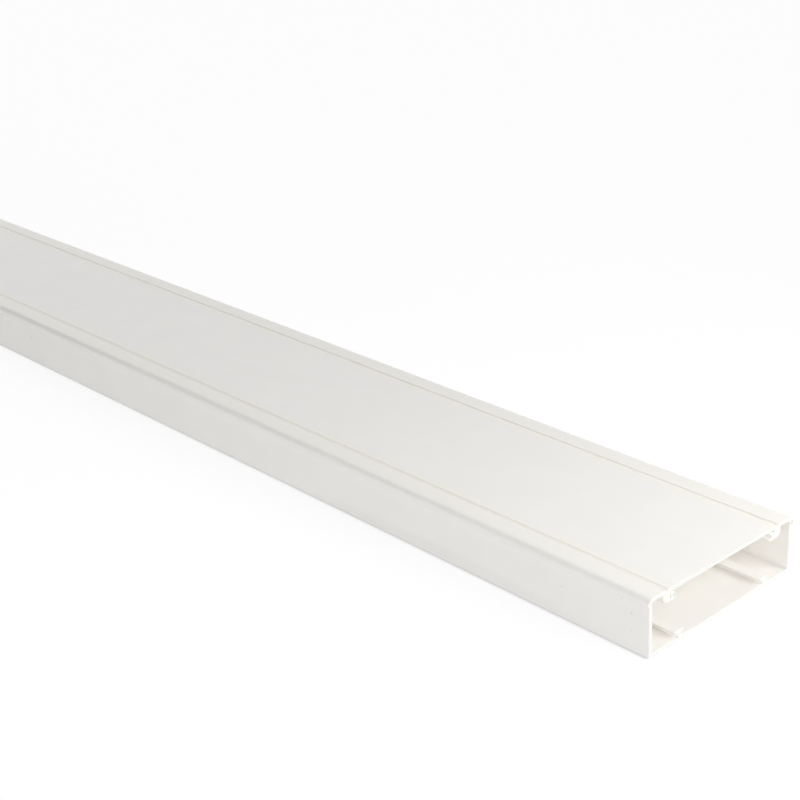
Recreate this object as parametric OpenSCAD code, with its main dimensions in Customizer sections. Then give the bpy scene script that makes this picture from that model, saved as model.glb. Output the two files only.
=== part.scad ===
// Cable trunking in rigid white plastic: an extruded channel and a snap-in lid.
// The length runs along X, the width along Y, and the underside lies on Z = 0.
// Sections are drawn with the width along x and the height along y, mirrored
// about x = 0, and then extruded along the length.

/* [Channel] */
// Length of the stock piece
length = 2000; // [200:10:3000]
// Width over the two shoulders
width = 125; // [100:1:200]
// Height from the underside to the top of the flanges
height = 35; // [28:0.5:80]
// Thickness of the side walls
wall_t = 2.5; // [1.2:0.1:3.5]
// Thickness of the floor
floor_t = 1.9; // [1.2:0.1:3]
// Thickness of the flanges and of the lid, which lie flush
top_t = 2.1; // [1.6:0.1:2.6]
// Width of each flange, from the outside to the lid's groove
flange_w = 14.4; // [12:0.1:20]
// Radius inside the channel's corners
inner_r = 0.9; // [0.3:0.1:1.5]
// Radius of the bottom outside edges
foot_r = 0.5; // [0.2:0.1:1.2]
// Radius that breaks the edges along the lid's groove
soft_r = 0.5; // [0.2:0.05:0.7]

/* [Shoulders] */
// Height of the shoulder under each top outside edge
shoulder_h = 4.8; // [4.5:0.1:8]
// How far the shoulder stands out from the wall
shoulder_out = 0.6; // [0.3:0.1:1]
// Height of the slope at the shoulder's foot, which runs back to the wall
shoulder_slope = 1; // [0.4:0.1:1.2]
// Radius of the top outside edges
edge_r = 3.6; // [1.5:0.1:3.6]

/* [Clip pockets] */
// Thickness of a pocket's walls and floor
clip_t = 1.5; // [1:0.1:2]
// Radius inside the pocket's outer bottom corner
clip_r = 2.2; // [1:0.1:2.5]
// Room beside the lid's leg, on the side towards the middle
slot_w = 0.7; // [0.4:0.1:2]
// Drop from the flanges' underside to the top of the inner lip
lip_drop = 1.4; // [0.6:0.1:2]
// Thickness of the ears on the inner lip
ear_t = 1; // [0.6:0.1:1.4]
// Reach of the upper ear from the lip, towards the middle
upper_ear = 1.4; // [0.7:0.1:2]
// Reach of the lower ear from the lip, towards the middle
lower_ear = 2.1; // [1:0.1:3]

/* [Lid] */
// Width of the groove between a flange and the lid
groove_w = 2.2; // [1:0.1:3]
// Depth of the groove, down to the shelf on the lid's legs
groove_d = 0.7; // [0.5:0.1:1.4]
// How far the legs reach in under the lid from its edges
leg_inset = 0.8; // [0.5:0.1:1.5]
// Length of the legs below the lid
leg_h = 4.1; // [3.4:0.1:6]
// How far a leg's barb reaches under the flange
barb_catch = 0.8; // [0.4:0.1:1.5]
// Clearance above the barbs, under the legs and beside their shelves
seat_gap = 0.3; // [0.2:0.05:0.5]
// Clearance between a barb and the pocket's outer wall
side_gap = 0.4; // [0.3:0.05:0.8]

/* [Floor rails] */
// Distance from the outside to the middle of a rail
rail_inset = 25.3; // [20:0.1:40]
// Height of the rails above the floor
rail_h = 4.3; // [3:0.1:8]
// Thickness of a rail's stem
stem_t = 2; // [1.2:0.1:3]
// Width of a rail's cap
cap_w = 6.9; // [4:0.1:10]
// Thickness of a rail's cap
cap_t = 1.2; // [0.8:0.1:2]

/* [Hidden] */
$fn = 48;
plastic = "whitesmoke";

// Walls and flanges, as distances from the middle and heights
half_w = width / 2;
wall_out = half_w - shoulder_out;
wall_in = wall_out - wall_t;
flange_edge = half_w - flange_w;
flange_under = height - top_t;
shoulder_foot = height - shoulder_h;

// Lid and its legs
lid_edge = flange_edge - groove_w;
leg_in = lid_edge - leg_inset;
leg_out = flange_edge - seat_gap;
leg_foot = flange_under - leg_h;
shelf_top = height - groove_d;
barb_tip = flange_edge + barb_catch;
barb_top = flange_under - seat_gap;
toe_r = clip_r - side_gap;

// Clip pockets, set round the legs
pocket_out = barb_tip + side_gap;
clip_out = pocket_out + clip_t;
lip_out = leg_in - slot_w;
lip_in = lip_out - clip_t;
lip_top = flange_under - lip_drop;
pocket_floor = leg_foot - seat_gap;
clip_under = pocket_floor - clip_t;
bend_r = clip_r + clip_t;

// Floor rails
rail_mid = half_w - rail_inset;
rail_top = floor_t + rail_h;

// Both sides of the section
module both_sides() {
    children();
    mirror([1, 0, 0]) children();
}

// Rectangle standing on y = 0 about x = 0, with round corners
module round_rect(w, h, r) {
    translate([-w / 2, r]) square([w, h - 2 * r]);
    translate([r - w / 2, 0]) square([w - 2 * r, h]);
    both_sides() for (y = [r, h - r]) translate([w / 2 - r, y]) circle(r);
}

// Flat bar from x = 0 to x = reach, with a round nose
module nosed_bar(reach, t) {
    square([reach - t / 2, t]);
    translate([reach - t / 2, t / 2]) circle(t / 2);
}

// What lies outside a round corner whose arc is centred on the origin
module corner_cut(r) {
    difference() {
        square(2 * r);
        circle(r);
    }
}

// Quarter of a ring, from +x round to -y
module bend(r, t) {
    difference() {
        intersection() {
            circle(r);
            translate([0, -r]) square(r);
        }
        circle(r - t);
    }
}

// Band across the section at the height of the shoulders, which slope back to the walls
module shoulders() {
    polygon([
        [-wall_out, shoulder_foot],
        [wall_out, shoulder_foot],
        [half_w, shoulder_foot + shoulder_slope],
        [half_w, height],
        [-half_w, height],
        [-half_w, shoulder_foot + shoulder_slope],
    ]);
}

// Outside of the channel: walls, with a shoulder under each top edge
module outline() {
    difference() {
        union() {
            round_rect(2 * wall_out, height, foot_r);
            shoulders();
        }
        both_sides() translate([half_w - edge_r, height - edge_r]) corner_cut(edge_r);
    }
}

// Hollow for the cables, and the mouth between the flanges
module hollow() {
    translate([0, floor_t]) round_rect(2 * wall_in, flange_under - floor_t, inner_r);
    translate([-flange_edge, height / 2]) square([2 * flange_edge, height]);
    both_sides() translate([flange_edge + soft_r, height - soft_r]) mirror([1, 0, 0]) corner_cut(soft_r);
}

// Pocket that hangs from a flange and takes one leg of the lid
module clip_pocket() {
    translate([pocket_out, clip_under + bend_r]) square([clip_t, height - top_t / 2 - clip_under - bend_r]);
    translate([clip_out - bend_r, clip_under + bend_r]) bend(bend_r, clip_t);
    translate([lip_in, clip_under]) square([clip_out - bend_r - lip_in, clip_t]);
    translate([lip_in, clip_under]) square([clip_t, lip_top - clip_under]);
    translate([lip_out, lip_top - ear_t]) mirror([1, 0, 0]) nosed_bar(clip_t + upper_ear, ear_t);
    translate([lip_out, clip_under]) mirror([1, 0, 0]) nosed_bar(clip_t + lower_ear, ear_t);
}

// T-shaped rail on the floor, which holds a divider by its cap
module floor_rail() {
    translate([rail_mid - stem_t / 2, floor_t / 2]) square([stem_t, rail_top - cap_t / 2 - floor_t / 2]);
    translate([rail_mid, rail_top - cap_t]) both_sides() nosed_bar(cap_w / 2, cap_t);
}

// Section of the channel
module channel_section() {
    difference() {
        outline();
        hollow();
    }
    both_sides() {
        clip_pocket();
        floor_rail();
    }
}

// Leg of the lid: a shelf that closes the groove, and under it the barb that catches
// below the flange, with a round toe that follows the pocket's bend
module lid_leg() {
    translate([leg_in, barb_top - toe_r / 2]) square([leg_out - leg_in, shelf_top - barb_top + toe_r / 2]);
    difference() {
        translate([leg_in, leg_foot]) square([barb_tip - leg_in, barb_top - leg_foot]);
        translate([barb_tip - toe_r, leg_foot + toe_r]) mirror([0, 1, 0]) corner_cut(toe_r);
    }
}

// Section of the lid
module lid_section() {
    translate([0, flange_under]) round_rect(2 * lid_edge, top_t, soft_r);
    both_sides() lid_leg();
}

// A section carried along the length
module extruded() {
    rotate([90, 0, 90]) linear_extrude(height = length, center = true) children();
}

module base_channel() {
    color(plastic) extruded() channel_section();
}

module lid() {
    color(plastic) extruded() lid_section();
}

base_channel();
lid();
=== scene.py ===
"""Cable trunking: a white extruded channel and its flush snap-in lid.

Each piece is one closed outline, drawn across the section and carried along the
length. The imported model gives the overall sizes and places. Sizes of the object
are in millimetres, and what stands round it is placed in metres.
"""

import bpy
import numpy as np
from mathutils import Euler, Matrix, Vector


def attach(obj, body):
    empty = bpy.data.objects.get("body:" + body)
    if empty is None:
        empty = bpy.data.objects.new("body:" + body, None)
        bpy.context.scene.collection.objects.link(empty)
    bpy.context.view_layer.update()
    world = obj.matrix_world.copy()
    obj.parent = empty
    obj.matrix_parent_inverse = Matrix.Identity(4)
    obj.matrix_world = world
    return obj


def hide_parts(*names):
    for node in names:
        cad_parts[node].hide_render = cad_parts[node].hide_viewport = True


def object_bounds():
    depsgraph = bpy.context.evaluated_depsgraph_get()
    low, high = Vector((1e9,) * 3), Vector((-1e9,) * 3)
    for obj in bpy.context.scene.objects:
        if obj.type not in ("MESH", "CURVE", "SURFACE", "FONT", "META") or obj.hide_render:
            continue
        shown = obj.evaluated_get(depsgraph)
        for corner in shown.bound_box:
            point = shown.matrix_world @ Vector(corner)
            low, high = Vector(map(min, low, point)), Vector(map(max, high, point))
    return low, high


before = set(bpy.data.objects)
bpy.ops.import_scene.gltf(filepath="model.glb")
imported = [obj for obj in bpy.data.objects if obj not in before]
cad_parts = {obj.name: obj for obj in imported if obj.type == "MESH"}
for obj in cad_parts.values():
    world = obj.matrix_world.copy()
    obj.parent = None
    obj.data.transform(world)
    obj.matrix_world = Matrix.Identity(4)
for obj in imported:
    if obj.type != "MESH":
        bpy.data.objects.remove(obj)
cad_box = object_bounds()

MM = 0.001
LENGTH, WIDTH, HEIGHT = ((cad_box[1] - cad_box[0]) / MM)[:]

# Channel: walls, floor, flanges and the shoulder under each top edge, whose slope is
# eased further down the wall
WALL = 2.5
FLOOR = 1.9
TOP = 2.1
FLANGE = 14.4
SHOULDER_TALL = 4.8
SHOULDER_OUT = 0.6
SHOULDER_SLOPE = 1.0
SHOULDER_EASE = 1.2

# Grooves beside the lid, and the width of the slope on each of their sides
GROOVE = 2.2
GROOVE_DEEP = 0.32
GROOVE_EASE = 0.75

# Clip pockets and the lid's legs: the gaps set the pockets round the legs, and the legs
# are then drawn out to a snug clearance
LEG_INSET = 0.8
LEG_TALL = 4.1
BARB_CATCH = 0.8
SEAT_GAP = 0.3
SIDE_GAP = 0.4
SNUG = 0.02
CLIP = 1.5
SLOT = 0.7
LIP_DROP = 1.4
EAR = 1.0
UPPER_EAR = 1.4
LOWER_EAR = 2.1

# T-shaped rails on the floor
RAIL_INSET = 25.3
RAIL_TALL = 4.3
STEM = 2.0
CAP_WIDE = 6.9
CAP = 1.2

# Roundings of the extrusion's edges, and of its noses as a share of their thickness
ROUND_TOP = 3.6
ROUND_POCKET = 2.2
ROUND_INSIDE = 0.9
ROUND_FOOT = 0.5
ROUND_SHOULDER = 0.7
ROUND_HOLLOW = 4.0
ROUND_FINE = 0.25
ROUND_CREASE = 0.15
ROUND_GROOVE = 1.0
ROUND_SHARP = 0.05
NOSE_SHARE = 0.49

# How finely an outline and its length are divided: a stretch longer than FLAT gets a
# supporting point near each end, and points that agree to so many decimals are one
ARC_STEPS = 7
OUTLINE_STEP = 5.0
FLAT = 0.75
SUPPORT = 0.25
DECIMALS = 4
LENGTH_STEP = 20.0
CUT_ROUND = 0.15

# Slow wander of the faces along the length, as an extrusion leaves the die: how far, and
# the length and start of each wave
WANDER = 0.12
WANDER_WAVES = ((610.0, 0.4), (370.0, 2.1), (233.0, 4.4))

# White of the plastic, and of its matter sawn ends, made greyer as painted shade against the strong light
# on them
WHITE = (0.962, 0.946, 0.918)
SAWN_SHADE_WHITE = (0.785, 0.78, 0.758)
SAWN_ROUGHNESS = 0.6

# Mottling: noise cells to the metre, their detail, the levels of noise between which the
# tone changes, and the darker tone as a share of the white
MOTTLE_CELLS = 38.0
MOTTLE_DETAIL = 4.0
MOTTLE_LEVELS = (0.35, 0.65)
MOTTLE_SHARE = 0.985

# Draw lines: noise cells to the metre along X, Y and Z, their detail, the roughness that
# they swing between, and how strongly and how deep they mark the surface
LINE_CELLS = (1.2, 260.0, 260.0)
LINE_DETAIL = 3.0
LINE_ROUGHNESS = (0.20, 0.30)
LINE_STRENGTH = 0.05
LINE_DEEP = 0.2

# Painted shade in the grooves, tan, and painted warm light beside them, cream, mostly on the
# flanges: tint and how far it reaches
GROOVE_SHADE_TAN = (0.962, 0.930, 0.850)
GROOVE_SHADE_REACH = 1.7
FLANGE_LIGHT_CREAM = (0.962, 0.936, 0.880)
FLANGE_LIGHT_REACH = 13.0

# Dust and painted shade on the channel: painted shade as a browner stretch along the foot of
# the near wall, dust specks on that wall, and a brown spot of painted shade on the far corner
# of the cut. Place, radius, how many times longer than high and how dark
DIRT_AND_SHADE = (0.25, 0.19, 0.13)
NEAR_END = LENGTH / 2
NEAR_WALL = SHOULDER_OUT - WIDTH / 2
DIRT_AND_SHADE_MARKS = (
    # painted shade: browner along the foot of the near wall, where it meets the floor
    ((NEAR_END - 150.0, NEAR_WALL, 0.0), 11.0, 13, 0.05),
    ((NEAR_END - 18.3, NEAR_WALL, 28.5), 0.9, 1, 0.10),
    ((NEAR_END - 11.6, NEAR_WALL, 22.7), 1.0, 1, 0.17),
    ((NEAR_END - 11.4, NEAR_WALL, 11.7), 0.8, 1, 0.10),
    ((NEAR_END - 3.1, NEAR_WALL, 23.0), 0.8, 1, 0.07),
    ((NEAR_END - 59.6, NEAR_WALL, 19.0), 1.2, 1, 0.08),
    ((NEAR_END - 608.4, NEAR_WALL, 19.5), 0.6, 1, 0.6),
    # painted shade: a brown spot on the far top corner of the cut
    ((NEAR_END, WIDTH / 2 - 1.2, 31.2), 2.0, 1, 0.23),
)

# Room: soft panels in the dark, each a direction, the angles at which it starts and
# stops fading, and its strength. The camera sees a plain pale surround instead
ROOM_PANELS = {
    "front window": ((0.45, 0.10, 0.30), 8, 28, 2.0),
    "backdrop": ((-0.5, 1.0, 0.3), 45, 75, 1.19),
    "wall light": ((-0.1, -1.0, 0.02), 6, 16, 9.8),
    "corner light": ((0.8, -1.0, 0.3), 10, 25, 2.6),
}
SURROUND = 0.96

# Floor: half its width, the share of light that it throws back, the white that it glows
# with, and how much of that glow lights the object
FLOOR_REACH = 30.0
FLOOR_ROUGHNESS = 0.9
FLOOR_RETURNS = 0.20
FLOOR_WHITE = 0.86
FLOOR_GLOW = 0.44

# Contact shadow: how close to the object the white fades for the camera, and the height
# angle of the side that it is judged from, which faces the way the near end does, so that
# the floor stays white before that end
CONTACT = 2.6
CONTACT_ANGLE = 30.0

# Softboxes close to the near end: place, what each aims at, size and watts, and the full
# angle of their beams, which keep to that end
SOFTBOXES = {
    "far box": ((1.45, 0.30, 0.30), (1.0, 0.02, 0.015), (0.3, 0.3), 0.42),
    "near box": ((1.45, -0.05, 0.30), (1.0, 0.02, 0.015), (0.3, 0.3), 0.30),
    "low strip": ((1.20, -1.10, 0.14), (0.97, -0.06, 0.015), (0.8, 0.2), 0.45),
}
BEAM = 90.0

# How often light is passed on between the pale faces inside the channel
BOUNCES = 10

# Camera, as fitted to the photograph's edges: place, turn in degrees, lens and sensor in
# millimetres, shift as a share of the frame, and how far it sees
CAMERA_PLACE = (1.4324, -0.6064, 0.4513)
CAMERA_TURN = (66.327, 2.492, 47.365)
CAMERA_LENS = 70.85
CAMERA_SENSOR = 36.0
CAMERA_SHIFT = (-0.000625, 0.000625)
CAMERA_SIGHT = 100.0


def rounded_outline(corners, radii):
    """Closed outline with a round at each corner.

    At a corner whose sides leave along the unit vectors a and b, with the angle
    t between them, the arc of radius r is centred r / sin(t / 2) along the
    bisector and starts r / tan(t / 2) along a. Its points are the arc's end
    radii blended by sines, and the directions of travel blend the same way, so
    that the outward normals, a quarter turn to the right of them, are exact.
    Flats get points at a regular step, and one close to each end that keeps the
    shading of the flat even. Returns the points and their outward normals.
    """
    corners, radii = np.asarray(corners, float), np.asarray(radii, float)[:, None]
    a = np.roll(corners, 1, 0) - corners
    b = np.roll(corners, -1, 0) - corners
    a /= np.linalg.norm(a, axis=1, keepdims=True)
    b /= np.linalg.norm(b, axis=1, keepdims=True)
    half = np.arccos(np.clip((a * b).sum(1), -1, 1))[:, None] / 2
    bisector = (a + b) / np.linalg.norm(a + b, axis=1, keepdims=True)
    centre = corners + bisector * radii / np.sin(half)
    first = corners + a * radii / np.tan(half) - centre
    last = corners + b * radii / np.tan(half) - centre
    sweep = (np.pi - 2 * half)[:, None]
    share = np.linspace(0, 1, ARC_STEPS + 1)[None, :, None]
    leave = np.sin((1 - share) * sweep) / np.sin(sweep)
    reach = np.sin(share * sweep) / np.sin(sweep)
    arcs = leave * first[:, None] + reach * last[:, None]
    travel = leave * -a[:, None] + reach * b[:, None]
    points = (centre[:, None] + arcs).reshape(-1, 2)
    normals = np.stack([travel[..., 1], -travel[..., 0]], axis=-1).reshape(-1, 2)

    closed = np.vstack([np.c_[points, normals], np.r_[points[0], normals[0]]])
    pace = np.linalg.norm(np.diff(closed[:, :2], axis=0), axis=1)
    along = np.r_[0, np.cumsum(pace)]
    flat = pace > FLAT
    near_ends = np.r_[along[:-1][flat] + SUPPORT, along[1:][flat] - SUPPORT]
    regular = np.arange(0, along[-1], OUTLINE_STEP)
    stretch = np.clip(np.searchsorted(along, regular, "right") - 1, 0, len(pace) - 1)
    inside = regular[pace[stretch] > OUTLINE_STEP]
    stops = np.unique(np.round(np.r_[along[:-1], near_ends, inside], DECIMALS))
    column = [np.interp(stops, along, values) for values in closed.T]
    return np.c_[column[0], column[1]], np.c_[column[2], column[3]]


def whole_section(right):
    """Outline of a whole section from its right side: those corners, then their mirror image in reverse."""
    corners = np.array([place for place, _ in right])
    radii = np.array([radius for _, radius in right])
    left = corners[::-1] * (-1, 1)
    return rounded_outline(np.vstack([corners, left]), np.r_[radii, radii[::-1]])


def wander(points):
    """Faces drift a little inwards and back along the length.

    The drift is a mean of slow sines of x, less one, so that nothing grows. Across,
    it draws both walls in alike, most at mid height. Upwards, a like mean of cosines
    lowers the faces in step with their height, so the underside stays flat.
    """
    x, y, z = points[..., 0], points[..., 1], points[..., 2]
    waves = np.array(WANDER_WAVES)
    turns = 2 * np.pi * x[..., None] / waves[:, 0]
    drift = np.sin(turns + waves[:, 1]).mean(-1)
    lift = np.cos(turns + 2 * waves[:, 1]).mean(-1)
    belly = np.sin(np.pi * np.clip(z / HEIGHT, 0, 1))
    outward = WANDER * (drift - 1) * belly * y / WIDTH
    upward = WANDER * (lift - 1) * z / HEIGHT / 2
    return np.stack([x, y + outward, z + upward], axis=-1)


def carry_along(name, section, body, node, material):
    """Piece made by carrying an outline along the length.

    Ring i holds the outline at station x_i. The first and last rings are drawn
    in by the cut's small round, along the outline's own normals, and closed by
    one flat face each. Two rings close to each end keep the round's shading to
    itself, and the rest follow at a regular step.
    """
    outline, normals = section
    count = len(outline)
    reach = LENGTH / 2
    cut = np.array([0, CUT_ROUND, CUT_ROUND + SUPPORT])
    inner = np.linspace(-reach, reach, int(LENGTH / LENGTH_STEP) + 1)[1:-1]
    stations = np.r_[cut - reach, inner, reach - cut[::-1]]
    drawn_in = np.zeros(len(stations))
    drawn_in[[0, -1]] = CUT_ROUND

    rings = np.empty((len(stations), count, 3))
    rings[..., 0] = stations[:, None]
    rings[..., 1:] = outline - drawn_in[:, None, None] * normals
    rings = wander(rings) * MM

    index = np.arange(len(stations) * count).reshape(len(stations), count)
    ahead = np.roll(index, -1, 1)
    sides = np.stack([index[:-1], ahead[:-1], ahead[1:], index[1:]], axis=-1).reshape(-1, 4)
    ends = [index[0][::-1].tolist(), index[-1].tolist()]

    mesh = bpy.data.meshes.new(name)
    mesh.from_pydata(rings.reshape(-1, 3).tolist(), [], sides.tolist() + ends)
    smooth = np.ones(len(mesh.polygons), bool)
    smooth[-len(ends):] = False
    mesh.polygons.foreach_set("use_smooth", smooth)
    mesh.update()
    mesh.materials.append(material)
    piece = bpy.data.objects.new(name, mesh)
    bpy.context.scene.collection.objects.link(piece)
    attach(piece, body)
    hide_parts(node)


def channel_outline():
    """Section of the channel, right half from the middle of the underside round to that of the floor."""
    half_w = WIDTH / 2
    wall_out = half_w - SHOULDER_OUT
    wall_in = wall_out - WALL
    under = HEIGHT - TOP
    flange_edge = half_w - FLANGE
    pocket_out = flange_edge + BARB_CATCH + SIDE_GAP
    clip_out = pocket_out + CLIP
    lip_out = flange_edge - GROOVE - LEG_INSET - SLOT
    lip_in = lip_out - CLIP
    lip_top = under - LIP_DROP
    pocket_floor = under - LEG_TALL - SEAT_GAP
    clip_under = pocket_floor - CLIP
    shoulder_foot = HEIGHT - SHOULDER_TALL
    rail = half_w - RAIL_INSET
    rail_top = FLOOR + RAIL_TALL
    nose = EAR * NOSE_SHARE
    tip = CAP * NOSE_SHARE
    return whole_section([
        ((wall_out, 0), ROUND_FOOT),
        ((wall_out, shoulder_foot - SHOULDER_EASE), ROUND_HOLLOW),
        ((half_w, shoulder_foot + SHOULDER_SLOPE), ROUND_SHOULDER),
        ((half_w, HEIGHT), ROUND_TOP),
        ((flange_edge + GROOVE_EASE, HEIGHT), ROUND_GROOVE),
        ((flange_edge, HEIGHT - GROOVE_DEEP), ROUND_CREASE),
        ((flange_edge, under), ROUND_FINE),
        ((pocket_out, under), ROUND_FINE),
        ((pocket_out, pocket_floor), ROUND_POCKET),
        ((lip_out, pocket_floor), ROUND_FINE),
        ((lip_out, lip_top), ROUND_FINE),
        ((lip_in - UPPER_EAR, lip_top), nose),
        ((lip_in - UPPER_EAR, lip_top - EAR), nose),
        ((lip_in, lip_top - EAR), ROUND_FINE),
        ((lip_in, clip_under + EAR), ROUND_FINE),
        ((lip_in - LOWER_EAR, clip_under + EAR), nose),
        ((lip_in - LOWER_EAR, clip_under), nose),
        ((clip_out, clip_under), ROUND_POCKET + CLIP),
        ((clip_out, under), ROUND_FINE),
        ((wall_in, under), ROUND_INSIDE),
        ((wall_in, FLOOR), ROUND_INSIDE),
        ((rail + STEM / 2, FLOOR), ROUND_FINE),
        ((rail + STEM / 2, rail_top - CAP), ROUND_FINE),
        ((rail + CAP_WIDE / 2, rail_top - CAP), tip),
        ((rail + CAP_WIDE / 2, rail_top), tip),
        ((rail - CAP_WIDE / 2, rail_top), tip),
        ((rail - CAP_WIDE / 2, rail_top - CAP), tip),
        ((rail - STEM / 2, rail_top - CAP), ROUND_FINE),
        ((rail - STEM / 2, FLOOR), ROUND_FINE),
    ])


def lid_outline():
    """Section of the lid, right half from its underside round the barbed leg and its shelf to its top."""
    under = HEIGHT - TOP
    flange_edge = WIDTH / 2 - FLANGE
    edge = flange_edge - GROOVE
    leg_in = edge - LEG_INSET
    leg_out = flange_edge - SNUG
    foot = under - LEG_TALL - SEAT_GAP + SNUG
    shelf = HEIGHT - GROOVE_DEEP
    barb_tip = flange_edge + BARB_CATCH + SIDE_GAP - SNUG
    barb_top = under - SNUG
    return whole_section([
        ((leg_in, under), ROUND_FINE),
        ((leg_in, foot), ROUND_FINE),
        ((barb_tip, foot), ROUND_POCKET - SNUG),
        ((barb_tip, barb_top), ROUND_FINE),
        ((leg_out, barb_top), ROUND_CREASE),
        ((leg_out, shelf), ROUND_SHARP),
        ((edge + GROOVE_EASE, shelf), ROUND_GROOVE),
        ((edge, HEIGHT), ROUND_GROOVE),
    ])


def mottled_white(nodes, links, place):
    """White that drifts slightly from place to place, by noise between two close tones."""
    mottle = nodes.new("ShaderNodeTexNoise")
    mottle.inputs["Scale"].default_value = MOTTLE_CELLS
    mottle.inputs["Detail"].default_value = MOTTLE_DETAIL
    links.new(place, mottle.inputs["Vector"])
    tone = nodes.new("ShaderNodeValToRGB")
    darker, white = tone.color_ramp.elements
    darker.position, white.position = MOTTLE_LEVELS
    darker.color = (*[MOTTLE_SHARE * c for c in WHITE], 1)
    white.color = (*WHITE, 1)
    links.new(mottle.outputs["Fac"], tone.inputs["Fac"])
    return tone.outputs["Color"]


def draw_lines(nodes, links, place):
    """Noise whose cells are drawn out along the length, as a die leaves them."""
    stretch = nodes.new("ShaderNodeMapping")
    stretch.inputs["Scale"].default_value = LINE_CELLS
    links.new(place, stretch.inputs["Vector"])
    lines = nodes.new("ShaderNodeTexNoise")
    lines.inputs["Scale"].default_value = 1.0
    lines.inputs["Detail"].default_value = LINE_DETAIL
    links.new(stretch.outputs["Vector"], lines.inputs["Vector"])
    return lines.outputs["Fac"]


def sawn_ends(nodes, links, place):
    """One on the sawn ends, where the distance from the middle is half the length, and zero elsewhere."""
    apart = nodes.new("ShaderNodeSeparateXYZ")
    links.new(place, apart.inputs["Vector"])
    away = nodes.new("ShaderNodeMath")
    away.operation = "ABSOLUTE"
    links.new(apart.outputs["X"], away.inputs[0])
    sawn = nodes.new("ShaderNodeMath")
    sawn.operation = "GREATER_THAN"
    sawn.inputs[1].default_value = (LENGTH / 2 - CUT_ROUND / 2) * MM
    links.new(away.outputs["Value"], sawn.inputs[0])
    return sawn.outputs["Value"]


def blended(nodes, links, colour, tint, share):
    """Colour with a tint mixed in by a share that varies over the surface."""
    mix = nodes.new("ShaderNodeMix")
    mix.data_type = "RGBA"
    mix.inputs["B"].default_value = (*tint, 1)
    links.new(colour, mix.inputs["A"])
    links.new(share, mix.inputs["Factor"])
    return mix.outputs["Result"]


def spot(nodes, links, place, centre, radius, along, amount):
    """Share of a spot: its amount out to half its radius, then fading smoothly to nothing at its rim.

    Distances along X are multiplied by along: at 1 the spot is round, below 1 it is
    longer than high, and at 0 it runs along the whole piece.
    """
    x, y, z = centre
    shorten = nodes.new("ShaderNodeVectorMath")
    shorten.operation = "MULTIPLY"
    shorten.inputs[1].default_value = (along, 1, 1)
    links.new(place, shorten.inputs[0])
    away = nodes.new("ShaderNodeVectorMath")
    away.operation = "DISTANCE"
    away.inputs[1].default_value = Vector((along * x, y, z)) * MM
    links.new(shorten.outputs["Vector"], away.inputs[0])
    fade = nodes.new("ShaderNodeMapRange")
    fade.interpolation_type = "SMOOTHSTEP"
    fade.inputs["From Min"].default_value = radius * MM
    fade.inputs["From Max"].default_value = radius * MM / 2
    fade.inputs["To Max"].default_value = amount
    links.new(away.outputs["Value"], fade.inputs["Value"])
    return fade.outputs["Result"]


def painted_warm_bounce(nodes, links, place, colour):
    """Colour with painted warm light, cream, along both flanges and painted shade, tan, in both grooves, as
    spots without end.

    They are placed by the distance from the middle, so that each serves both sides.
    """
    fold = nodes.new("ShaderNodeVectorMath")
    fold.operation = "ABSOLUTE"
    links.new(place, fold.inputs[0])
    both_sides = fold.outputs["Vector"]
    flange_edge = WIDTH / 2 - FLANGE
    flange = (0, flange_edge + GROOVE, HEIGHT)
    groove = (0, flange_edge + (GROOVE_EASE - GROOVE) / 2, HEIGHT)
    # painted warm light on the flanges and painted shade in the grooves
    light_share = spot(nodes, links, both_sides, flange, FLANGE_LIGHT_REACH, 0, 1)
    tan = spot(nodes, links, both_sides, groove, GROOVE_SHADE_REACH, 0, 1)
    colour = blended(nodes, links, colour, FLANGE_LIGHT_CREAM, light_share)
    return blended(nodes, links, colour, GROOVE_SHADE_TAN, tan)


def white_plastic(name, marks):
    """Semi-gloss white rigid plastic with slight mottling, and painted warm light and shade beside the
    lid's edges.

    The sawn ends are matter, and greyer as painted shade. Dust specks and painted shade lie
    on top of both, in marks that fade towards their rims. Faint draw lines along the length
    vary the gloss and the surface.
    """
    material = bpy.data.materials.new(name)
    material.use_nodes = True
    nodes, links = material.node_tree.nodes, material.node_tree.links
    shader = nodes["Principled BSDF"]
    place = nodes.new("ShaderNodeTexCoord").outputs["Object"]
    lines = draw_lines(nodes, links, place)
    sawn = sawn_ends(nodes, links, place)

    colour = mottled_white(nodes, links, place)
    colour = painted_warm_bounce(nodes, links, place, colour)
    # painted shade: the sawn ends greyer than the rest
    colour = blended(nodes, links, colour, SAWN_SHADE_WHITE, sawn)
    # dust specks and painted shade, laid on mark by mark
    for centre, radius, longer, dark in marks:
        mark = spot(nodes, links, place, centre, radius, 1 / longer, dark)
        colour = blended(nodes, links, colour, DIRT_AND_SHADE, mark)
    links.new(colour, shader.inputs["Base Color"])

    gloss = nodes.new("ShaderNodeMapRange")
    gloss.inputs["To Min"].default_value, gloss.inputs["To Max"].default_value = LINE_ROUGHNESS
    links.new(lines, gloss.inputs["Value"])
    matte = nodes.new("ShaderNodeMix")
    matte.inputs["B"].default_value = SAWN_ROUGHNESS
    links.new(sawn, matte.inputs["Factor"])
    links.new(gloss.outputs["Result"], matte.inputs["A"])
    links.new(matte.outputs["Result"], shader.inputs["Roughness"])

    bump = nodes.new("ShaderNodeBump")
    bump.inputs["Strength"].default_value = LINE_STRENGTH
    bump.inputs["Distance"].default_value = LINE_DEEP * MM
    links.new(lines, bump.inputs["Height"])
    links.new(bump.outputs["Normal"], shader.inputs["Normal"])
    return material


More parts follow.
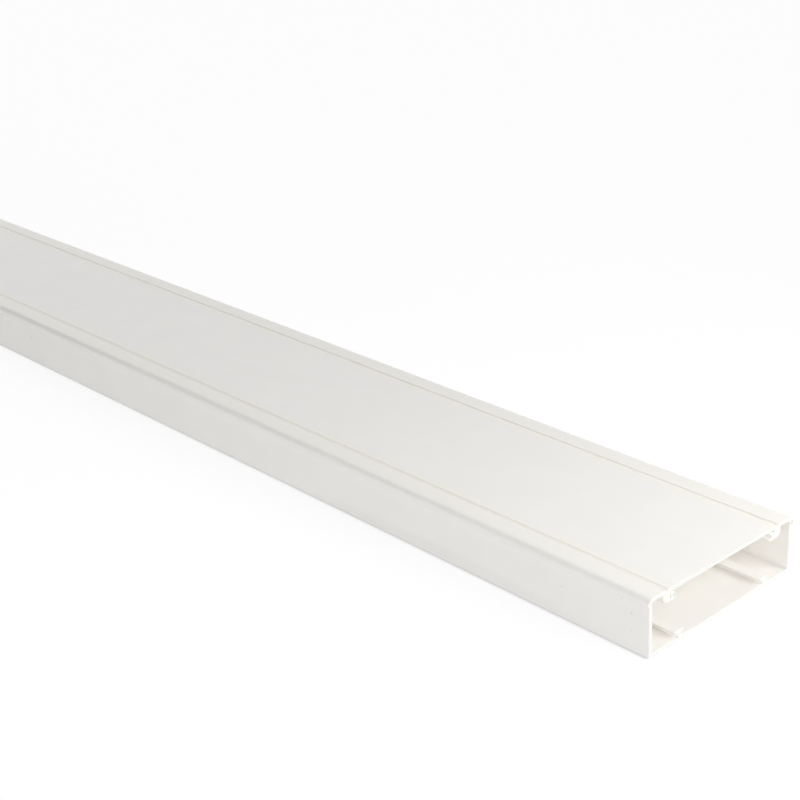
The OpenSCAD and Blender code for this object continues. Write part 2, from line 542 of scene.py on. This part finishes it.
def glowing_white():
    """Dull white that glows evenly towards the object and, for the camera, fades where that is close."""
    material = bpy.data.materials.new("pale_floor")
    material.use_nodes = True
    nodes, links = material.node_tree.nodes, material.node_tree.links
    shader = nodes["Principled BSDF"]
    shader.inputs["Base Color"].default_value = (FLOOR_RETURNS, FLOOR_RETURNS, FLOOR_RETURNS, 1)
    shader.inputs["Roughness"].default_value = FLOOR_ROUGHNESS
    shader.inputs["Specular IOR Level"].default_value = 0.0
    shader.inputs["Emission Color"].default_value = (FLOOR_WHITE, FLOOR_WHITE, FLOOR_WHITE, 1)
    judged_from = nodes.new("ShaderNodeCombineXYZ")
    judged_from.inputs["X"].default_value = np.cos(np.radians(CONTACT_ANGLE))
    judged_from.inputs["Z"].default_value = np.sin(np.radians(CONTACT_ANGLE))
    openness = nodes.new("ShaderNodeAmbientOcclusion")
    openness.inputs["Distance"].default_value = CONTACT * MM
    links.new(judged_from.outputs["Vector"], openness.inputs["Normal"])
    glow = nodes.new("ShaderNodeMix")
    glow.inputs["A"].default_value = FLOOR_GLOW
    links.new(openness.outputs["AO"], glow.inputs["B"])
    links.new(nodes.new("ShaderNodeLightPath").outputs["Is Camera Ray"], glow.inputs["Factor"])
    links.new(glow.outputs["Result"], shader.inputs["Emission Strength"])
    return material


def pale_floor():
    """Wide plain floor under the object: one square about the origin, shown as white as a lit table."""
    corners = [(-1, -1, 0), (1, -1, 0), (1, 1, 0), (-1, 1, 0)]
    mesh = bpy.data.meshes.new("floor")
    mesh.from_pydata((FLOOR_REACH * np.array(corners)).tolist(), [], [(0, 1, 2, 3)])
    mesh.materials.append(glowing_white())
    floor = bpy.data.objects.new("floor", mesh)
    bpy.context.scene.collection.objects.link(floor)


def soft_room():
    """Surroundings: the sum of panels that fade smoothly from their inner to their outer angle.

    They light the object, and behind it stands a plain white surround.
    """
    world = bpy.data.worlds.new("studio")
    world.use_nodes = True
    nodes, links = world.node_tree.nodes, world.node_tree.links
    gaze = nodes.new("ShaderNodeTexCoord").outputs["Generated"]
    total = None
    for direction, inner, outer, strength in ROOM_PANELS.values():
        facing = nodes.new("ShaderNodeVectorMath")
        facing.operation = "DOT_PRODUCT"
        facing.inputs[1].default_value = Vector(direction).normalized()
        links.new(gaze, facing.inputs[0])
        fade = nodes.new("ShaderNodeMapRange")
        fade.interpolation_type = "SMOOTHSTEP"
        fade.inputs["From Min"].default_value = np.cos(np.radians(outer))
        fade.inputs["From Max"].default_value = np.cos(np.radians(inner))
        links.new(facing.outputs["Value"], fade.inputs["Value"])
        panel = nodes.new("ShaderNodeMath")
        panel.operation = "MULTIPLY_ADD"
        panel.inputs[1].default_value = strength
        panel.inputs[2].default_value = 0.0
        links.new(fade.outputs["Result"], panel.inputs[0])
        if total:
            links.new(total, panel.inputs[2])
        total = panel.outputs["Value"]
    seen = nodes.new("ShaderNodeMix")
    seen.data_type = "RGBA"
    seen.inputs["B"].default_value = (SURROUND, SURROUND, SURROUND, 1)
    links.new(nodes.new("ShaderNodeLightPath").outputs["Is Camera Ray"], seen.inputs["Factor"])
    links.new(total, seen.inputs["A"])
    links.new(seen.outputs["Result"], nodes["Background"].inputs["Color"])
    bpy.context.scene.world = world


def softboxes():
    """Soft lights close to the near end, out of the camera's sight."""
    for name, (place, aim, size, watts) in SOFTBOXES.items():
        light = bpy.data.lights.new(name, "AREA")
        light.shape = "RECTANGLE"
        light.size, light.size_y = size
        light.energy = watts
        light.spread = np.radians(BEAM)
        lamp = bpy.data.objects.new(name, light)
        lamp.location = place
        lamp.rotation_euler = (Vector(aim) - Vector(place)).to_track_quat("-Z", "Y").to_euler()
        lamp.visible_camera = False
        bpy.context.scene.collection.objects.link(lamp)


def photo_camera():
    """Camera where the photograph was taken from."""
    data = bpy.data.cameras.new("camera")
    data.lens = CAMERA_LENS
    data.sensor_width = CAMERA_SENSOR
    data.shift_x, data.shift_y = CAMERA_SHIFT
    data.clip_end = CAMERA_SIGHT
    camera = bpy.data.objects.new("camera", data)
    camera.location = CAMERA_PLACE
    camera.rotation_euler = Euler(np.radians(CAMERA_TURN))
    bpy.context.scene.collection.objects.link(camera)
    bpy.context.scene.camera = camera


bpy.context.scene.view_settings.view_transform = "Standard"
bpy.context.scene.cycles.diffuse_bounces = BOUNCES
photo_camera()
soft_room()
softboxes()
pale_floor()
channel_white = white_plastic("channel_white", DIRT_AND_SHADE_MARKS)
lid_white = white_plastic("lid_white", ())
carry_along("channel", channel_outline(), "channel", "base_channel", channel_white)
carry_along("snap_lid", lid_outline(), "cover", "lid", lid_white)
